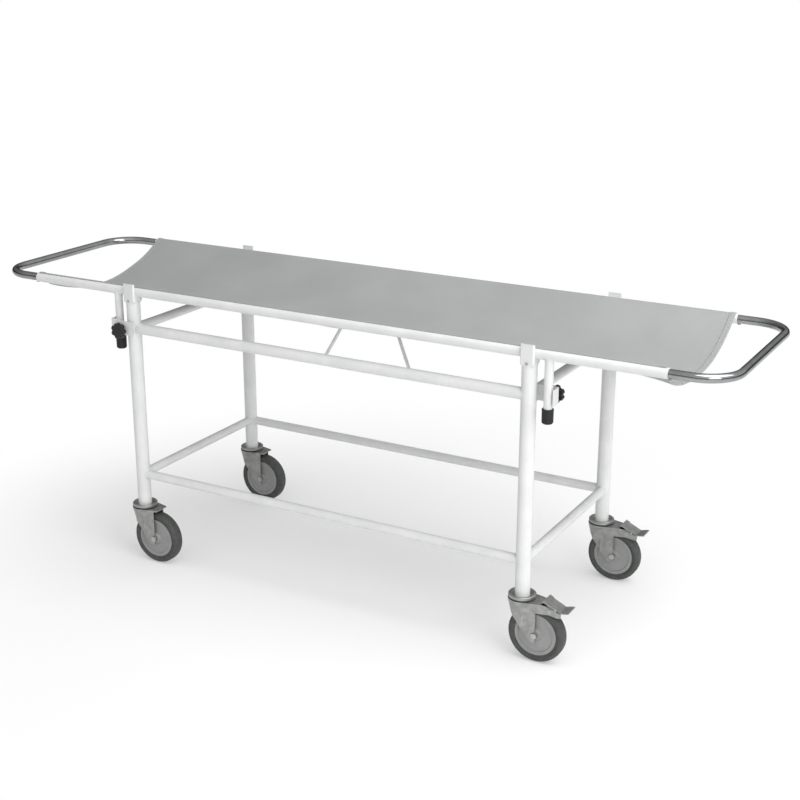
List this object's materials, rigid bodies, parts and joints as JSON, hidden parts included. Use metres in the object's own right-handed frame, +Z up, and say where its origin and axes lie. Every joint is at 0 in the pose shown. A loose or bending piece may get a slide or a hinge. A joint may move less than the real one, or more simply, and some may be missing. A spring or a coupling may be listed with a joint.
{
  "type": "stretcher trolley",
  "caption": "Wheeled tube-frame trolley with a lift-off sling stretcher, pull-out end handles, screw clamps and swivel casters, some braked.",
  "frame": {"origin": "on the floor, under the middle of the trolley", "axes": "+X along the trolley towards the braked casters, +Y across it to the rear, +Z up"},
  "size_m": [2.1722, 0.624, 0.82],
  "materials": {
    "white_paint": "semi-gloss white powder coat",
    "chrome": "bright chrome plate on tube",
    "sling_cloth": "grey coated cloth, faint sheen",
    "zinc_plate": "dull zinc-plated pressed steel",
    "plain_steel": "plated steel fasteners",
    "hub_plastic": "moulded grey nylon",
    "tyre_rubber": "dark grey solid rubber",
    "black_rubber": "black moulded rubber",
    "black_plastic": "black moulded plastic"
  },
  "bodies": {
    "frame": {"leg_front_left": "white_paint", "leg_front_right": "white_paint", "leg_rear_left": "white_paint", "leg_rear_right": "white_paint", "upper_rail_front": "white_paint", "upper_rail_rear": "white_paint", "lower_rail_front": "white_paint", "lower_rail_rear": "white_paint", "upper_cross_rail_left": "white_paint", "upper_cross_rail_right": "white_paint", "lower_cross_rail_left": "white_paint", "lower_cross_rail_right": "white_paint", "cradle_front_left": "white_paint", "cradle_front_right": "white_paint", "cradle_rear_left": "white_paint", "cradle_rear_right": "white_paint", "cradle_screws": "plain_steel", "swivel_head_front_left": "zinc_plate", "swivel_head_front_right": "zinc_plate", "swivel_head_rear_left": "zinc_plate", "swivel_head_rear_right": "zinc_plate", "clamp_bushes": "white_paint", "clamp_straps": "white_paint"},
    "stretcher": {"pole_front": "white_paint", "pole_rear": "white_paint", "sling": "sling_cloth", "foot_tubes": "white_paint", "foot_tips": "black_rubber", "spreader": "white_paint", "rod_frame": "white_paint"},
    "pull_handle_left": {"handle_left": "chrome"},
    "pull_handle_right": {"handle_right": "chrome"},
    "caster_front_left": {"fork_front_left": "zinc_plate", "axle_bolt_front_left": "plain_steel"},
    "wheel_front_left": {"wheel_hub_front_left": "hub_plastic", "tyre_front_left": "tyre_rubber"},
    "caster_front_right": {"fork_front_right": "zinc_plate", "axle_bolt_front_right": "plain_steel", "brake_pin_front_right": "plain_steel"},
    "wheel_front_right": {"wheel_hub_front_right": "hub_plastic", "tyre_front_right": "tyre_rubber"},
    "brake_front_right": {"brake_pedal_front_right": "zinc_plate"},
    "caster_rear_left": {"fork_rear_left": "zinc_plate", "axle_bolt_rear_left": "plain_steel"},
    "wheel_rear_left": {"wheel_hub_rear_left": "hub_plastic", "tyre_rear_left": "tyre_rubber"},
    "caster_rear_right": {"fork_rear_right": "zinc_plate", "axle_bolt_rear_right": "plain_steel", "brake_pin_rear_right": "plain_steel"},
    "wheel_rear_right": {"wheel_hub_rear_right": "hub_plastic", "tyre_rear_right": "tyre_rubber"},
    "brake_rear_right": {"brake_pedal_rear_right": "zinc_plate"},
    "claw_front_left": {"clamp_claw_front_left": "white_paint"},
    "knob_front_left": {"clamp_knob_front_left": "black_plastic"},
    "pad_front_right": {"clamp_pad_front_right": "plain_steel"},
    "knob_front_right": {"clamp_knob_front_right": "black_plastic"},
    "pad_rear_left": {"clamp_pad_rear_left": "plain_steel"},
    "knob_rear_left": {"clamp_knob_rear_left": "black_plastic"},
    "claw_rear_right": {"clamp_claw_rear_right": "white_paint"},
    "knob_rear_right": {"clamp_knob_rear_right": "black_plastic"}
  },
  "joints": [
    {"name": "stretcher_lift", "type": "slide", "parent": "frame", "child": "stretcher", "axis": [0, 0, 1], "range_m": [0, 0.3]},
    {"name": "handle_left_pull", "type": "slide", "parent": "stretcher", "child": "pull_handle_left", "axis": [-1, 0, 0], "range_m": [0, 0.15]},
    {"name": "handle_right_pull", "type": "slide", "parent": "stretcher", "child": "pull_handle_right", "axis": [1, 0, 0], "range_m": [0, 0.15]},
    {"name": "caster_front_left_swivel", "type": "hinge", "parent": "frame", "child": "caster_front_left", "pos_m": [-0.595, -0.267, 0.1635], "axis": [0, 0, 1], "continuous": true},
    {"name": "wheel_front_left_spin", "type": "hinge", "parent": "caster_front_left", "child": "wheel_front_left", "pos_m": [-0.551, -0.267, 0.075], "axis": [0, 1, 0], "continuous": true},
    {"name": "caster_front_right_swivel", "type": "hinge", "parent": "frame", "child": "caster_front_right", "pos_m": [0.595, -0.267, 0.1635], "axis": [0, 0, 1], "continuous": true},
    {"name": "wheel_front_right_spin", "type": "hinge", "parent": "caster_front_right", "child": "wheel_front_right", "pos_m": [0.639, -0.267, 0.075], "axis": [0, 1, 0], "continuous": true},
    {"name": "brake_front_right_press", "type": "hinge", "parent": "caster_front_right", "child": "brake_front_right", "pos_m": [0.679, -0.267, 0.152], "axis": [0, 1, 0], "range_deg": [0, 20]},
    {"name": "caster_rear_left_swivel", "type": "hinge", "parent": "frame", "child": "caster_rear_left", "pos_m": [-0.595, 0.267, 0.1635], "axis": [0, 0, 1], "continuous": true},
    {"name": "wheel_rear_left_spin", "type": "hinge", "parent": "caster_rear_left", "child": "wheel_rear_left", "pos_m": [-0.551, 0.267, 0.075], "axis": [0, 1, 0], "continuous": true},
    {"name": "caster_rear_right_swivel", "type": "hinge", "parent": "frame", "child": "caster_rear_right", "pos_m": [0.595, 0.267, 0.1635], "axis": [0, 0, 1], "continuous": true},
    {"name": "wheel_rear_right_spin", "type": "hinge", "parent": "caster_rear_right", "child": "wheel_rear_right", "pos_m": [0.639, 0.267, 0.075], "axis": [0, 1, 0], "continuous": true},
    {"name": "brake_rear_right_press", "type": "hinge", "parent": "caster_rear_right", "child": "brake_rear_right", "pos_m": [0.679, 0.267, 0.152], "axis": [0, 1, 0], "range_deg": [0, 20]},
    {"name": "claw_front_left_clamp", "type": "slide", "parent": "frame", "child": "claw_front_left", "axis": [0, 1, 0], "range_m": [0, 0.00375]},
    {"name": "knob_front_left_turn", "type": "hinge", "parent": "claw_front_left", "child": "knob_front_left", "pos_m": [-0.6204, -0.267, 0.69], "axis": [0, 1, 0], "range_deg": [0, 1088]},
    {"name": "pad_front_right_clamp", "type": "slide", "parent": "frame", "child": "pad_front_right", "axis": [0, -1, 0], "range_m": [0, 0.00375]},
    {"name": "knob_front_right_turn", "type": "hinge", "parent": "pad_front_right", "child": "knob_front_right", "pos_m": [0.645, -0.267, 0.69], "axis": [0, -1, 0], "range_deg": [0, 1088]},
    {"name": "pad_rear_left_clamp", "type": "slide", "parent": "frame", "child": "pad_rear_left", "axis": [0, 1, 0], "range_m": [0, 0.00375]},
    {"name": "knob_rear_left_turn", "type": "hinge", "parent": "pad_rear_left", "child": "knob_rear_left", "pos_m": [-0.645, 0.267, 0.69], "axis": [0, 1, 0], "range_deg": [0, 1088]},
    {"name": "claw_rear_right_clamp", "type": "slide", "parent": "frame", "child": "claw_rear_right", "axis": [0, -1, 0], "range_m": [0, 0.00375]},
    {"name": "knob_rear_right_turn", "type": "hinge", "parent": "claw_rear_right", "child": "knob_rear_right", "pos_m": [0.6204, 0.267, 0.69], "axis": [0, -1, 0], "range_deg": [0, 1088]}
  ],
  "couplings": [
    {"joint": "knob_front_left_turn", "follows": "claw_front_left_clamp", "rad_per_m": 5026.5},
    {"joint": "knob_front_right_turn", "follows": "pad_front_right_clamp", "rad_per_m": 5026.5},
    {"joint": "knob_rear_left_turn", "follows": "pad_rear_left_clamp", "rad_per_m": 5026.5},
    {"joint": "knob_rear_right_turn", "follows": "claw_rear_right_clamp", "rad_per_m": 5026.5}
  ]
}
